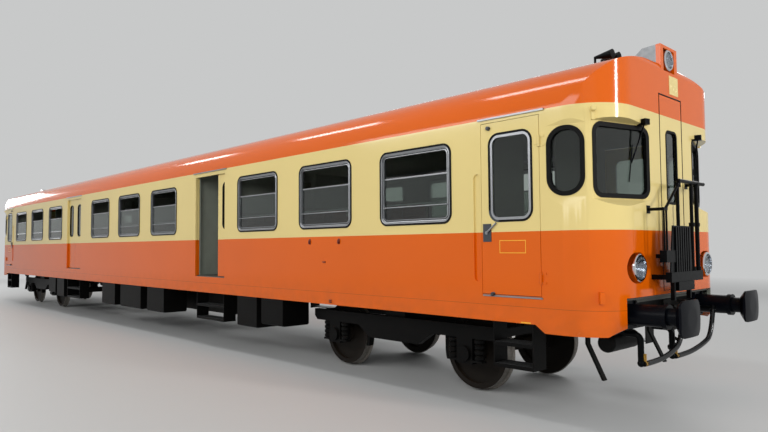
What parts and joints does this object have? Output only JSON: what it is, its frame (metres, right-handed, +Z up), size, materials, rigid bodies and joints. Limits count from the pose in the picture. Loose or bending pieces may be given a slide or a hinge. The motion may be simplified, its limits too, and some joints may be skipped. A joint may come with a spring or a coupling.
{
  "type": "two-cab diesel railcar coach",
  "caption": "Passenger railcar coach with a rounded driving cab at each end, sliding entrance doors and two four-wheel bogies, orange with a cream window band.",
  "frame": {"origin": "mid-length on the centre line at the flange tips of the wheels", "axes": "+X along the train towards the end with the near-side door open, +Z up"},
  "size_m": [23.54, 2.936, 3.9328],
  "materials": {
    "body_paint": "gloss orange paint with a cream window band",
    "black_rubber": "moulded black rubber",
    "window_alloy": "anodised extrusion",
    "glass": "clear toughened glass",
    "floor_cover": "ribbed vinyl floor",
    "inner_panel": "grey-green laminate",
    "seat_cover": "brown leathercloth",
    "frame_paint": "black frame paint with road dirt",
    "cast_iron": "oily cast iron",
    "buffer_paint": "satin blue-black paint",
    "chrome": "polished chrome",
    "wheel_steel": "machined steel with brown rust film"
  },
  "bodies": {
    "carbody": {"air_hose_brake_front": "black_rubber", "air_hose_brake_rear": "black_rubber", "air_hose_main_front": "black_rubber", "air_hose_main_rear": "black_rubber", "air_pipes": "frame_paint", "air_reservoirs": "frame_paint", "buffers": "buffer_paint", "cab_bulkheads": "inner_panel", "cab_desks": "inner_panel", "cab_ends": "body_paint", "corner_skirts": "body_paint", "couplings": "frame_paint", "cross_members": "frame_paint", "door_rails": "window_alloy", "door_strips": "window_alloy", "door_surrounds": "body_paint", "engines": "cast_iron", "equipment_boxes": "frame_paint", "floor": "floor_cover", "fuel_tanks": "frame_paint", "gangway_gear": "frame_paint", "headlamps": "chrome", "inner_walls": "inner_panel", "lamp_housings": "body_paint", "lamp_lenses": "glass", "luggage_racks": "window_alloy", "roof": "body_paint", "roof_vents": "frame_paint", "seat_cushions": "seat_cover", "seat_frames": "frame_paint", "side_walls": "body_paint", "sills": "frame_paint", "skirts": "body_paint", "steps": "frame_paint", "window_frames": "window_alloy", "window_panes": "glass", "window_seals": "black_rubber", "wipers": "frame_paint"},
    "crew_door_near_front": {"crew_door_near_front": "body_paint"},
    "leaf_near_front_outer": {"leaf_near_front_outer": "body_paint"},
    "leaf_near_front_inner": {"leaf_near_front_inner": "body_paint"},
    "crew_door_near_rear": {"crew_door_near_rear": "body_paint"},
    "leaf_near_rear_outer": {"leaf_near_rear_outer": "body_paint"},
    "leaf_near_rear_inner": {"leaf_near_rear_inner": "body_paint"},
    "crew_door_far_front": {"crew_door_far_front": "body_paint"},
    "leaf_far_front_outer": {"leaf_far_front_outer": "body_paint"},
    "leaf_far_front_inner": {"leaf_far_front_inner": "body_paint"},
    "crew_door_far_rear": {"crew_door_far_rear": "body_paint"},
    "leaf_far_rear_outer": {"leaf_far_rear_outer": "body_paint"},
    "leaf_far_rear_inner": {"leaf_far_rear_inner": "body_paint"},
    "gangway_door_front": {"gangway_door_front": "body_paint"},
    "gangway_door_rear": {"gangway_door_rear": "body_paint"},
    "bogie_front": {"bogie_front": "frame_paint"},
    "wheelset_1": {"wheelset_1": "wheel_steel"},
    "wheelset_2": {"wheelset_2": "wheel_steel"},
    "bogie_rear": {"bogie_rear": "frame_paint"},
    "wheelset_3": {"wheelset_3": "wheel_steel"},
    "wheelset_4": {"wheelset_4": "wheel_steel"}
  },
  "joints": [
    {"name": "crew_door_near_front_hinge", "type": "hinge", "parent": "carbody", "child": "crew_door_near_front", "pos_m": [10.53, -1.454, 1.448], "axis": [0, 0, 1], "range_deg": [0, 95]},
    {"name": "leaf_near_front_outer_slide", "type": "slide", "parent": "carbody", "child": "leaf_near_front_outer", "axis": [1, 0, 0], "range_m": [-0.225, 0.128]},
    {"name": "leaf_near_front_inner_slide", "type": "slide", "parent": "carbody", "child": "leaf_near_front_inner", "axis": [-1, 0, 0], "range_m": [-0.531, 0]},
    {"name": "crew_door_near_rear_hinge", "type": "hinge", "parent": "carbody", "child": "crew_door_near_rear", "pos_m": [-10.53, -1.454, 1.448], "axis": [0, 0, -1], "range_deg": [0, 95]},
    {"name": "leaf_near_rear_outer_slide", "type": "slide", "parent": "carbody", "child": "leaf_near_rear_outer", "axis": [-1, 0, 0], "range_m": [0, 0.353]},
    {"name": "leaf_near_rear_inner_slide", "type": "slide", "parent": "carbody", "child": "leaf_near_rear_inner", "axis": [1, 0, 0], "range_m": [0, 0.531]},
    {"name": "crew_door_far_front_hinge", "type": "hinge", "parent": "carbody", "child": "crew_door_far_front", "pos_m": [10.53, 1.454, 1.448], "axis": [0, 0, -1], "range_deg": [0, 95]},
    {"name": "leaf_far_front_outer_slide", "type": "slide", "parent": "carbody", "child": "leaf_far_front_outer", "axis": [1, 0, 0], "range_m": [0, 0.353]},
    {"name": "leaf_far_front_inner_slide", "type": "slide", "parent": "carbody", "child": "leaf_far_front_inner", "axis": [-1, 0, 0], "range_m": [0, 0.531]},
    {"name": "crew_door_far_rear_hinge", "type": "hinge", "parent": "carbody", "child": "crew_door_far_rear", "pos_m": [-10.53, 1.454, 1.448], "axis": [0, 0, 1], "range_deg": [0, 95]},
    {"name": "leaf_far_rear_outer_slide", "type": "slide", "parent": "carbody", "child": "leaf_far_rear_outer", "axis": [-1, 0, 0], "range_m": [0, 0.353]},
    {"name": "leaf_far_rear_inner_slide", "type": "slide", "parent": "carbody", "child": "leaf_far_rear_inner", "axis": [1, 0, 0], "range_m": [0, 0.531]},
    {"name": "gangway_door_front_hinge", "type": "hinge", "parent": "carbody", "child": "gangway_door_front", "pos_m": [11.216, 0.283, 1.448], "axis": [0, 0, -1], "range_deg": [0, 88]},
    {"name": "gangway_door_rear_hinge", "type": "hinge", "parent": "carbody", "child": "gangway_door_rear", "pos_m": [-11.216, -0.283, 1.448], "axis": [0, 0, -1], "range_deg": [0, 88]},
    {"name": "bogie_front_swivel", "type": "hinge", "parent": "carbody", "child": "bogie_front", "pos_m": [7.97, 0, 0.998], "axis": [0, 0, 1], "range_deg": [-5, 5]},
    {"name": "wheelset_1_spin", "type": "hinge", "parent": "bogie_front", "child": "wheelset_1", "pos_m": [9.195, 0, 0.483], "axis": [0, 1, 0], "continuous": true},
    {"name": "wheelset_2_spin", "type": "hinge", "parent": "bogie_front", "child": "wheelset_2", "pos_m": [6.745, 0, 0.483], "axis": [0, 1, 0], "continuous": true},
    {"name": "bogie_rear_swivel", "type": "hinge", "parent": "carbody", "child": "bogie_rear", "pos_m": [-7.97, 0, 0.998], "axis": [0, 0, 1], "range_deg": [-5, 5]},
    {"name": "wheelset_3_spin", "type": "hinge", "parent": "bogie_rear", "child": "wheelset_3", "pos_m": [-6.745, 0, 0.483], "axis": [0, 1, 0], "continuous": true},
    {"name": "wheelset_4_spin", "type": "hinge", "parent": "bogie_rear", "child": "wheelset_4", "pos_m": [-9.195, 0, 0.483], "axis": [0, 1, 0], "continuous": true}
  ]
}
